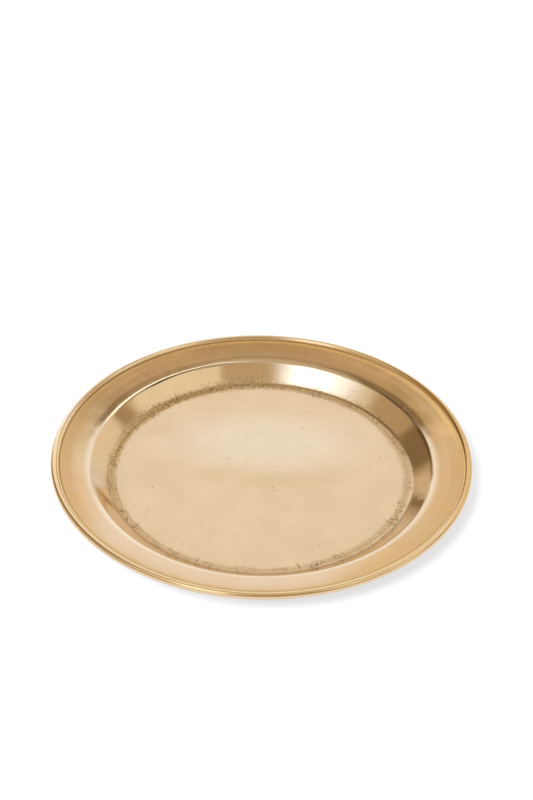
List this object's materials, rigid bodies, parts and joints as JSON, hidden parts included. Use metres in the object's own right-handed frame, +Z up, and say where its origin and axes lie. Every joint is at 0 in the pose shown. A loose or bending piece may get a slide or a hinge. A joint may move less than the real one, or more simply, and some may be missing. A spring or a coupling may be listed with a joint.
{
  "type": "paten plate",
  "caption": "Round brass candle paten: a flat-floored shallow well, a sloping wall, a broad flared rim with a wired bead edge, and a felt disc under the floor.",
  "frame": {"origin": "centre of the felt's underside, on the table that the plate stands on", "axes": "+Z up along the plate's axis of symmetry; the plate is round, so X and Y are any two directions across it, with the butt joint of the rim wire at +Y"},
  "size_m": [0.14, 0.14, 0.0101],
  "materials": {
    "aged_brass": "spun sheet brass, aged and lacquered: satin floor, brighter wall and rim, brown patina in the crease",
    "brass_wire": "drawn, unpolished",
    "adhesive": "thin clear-amber bonding film",
    "felt": "die-cut wool felt, short nap"
  },
  "bodies": {
    "root": {"plate_shell": "aged_brass", "rim_wire": "brass_wire", "adhesive_film": "adhesive", "base_felt": "felt"}
  },
  "joints": []
}
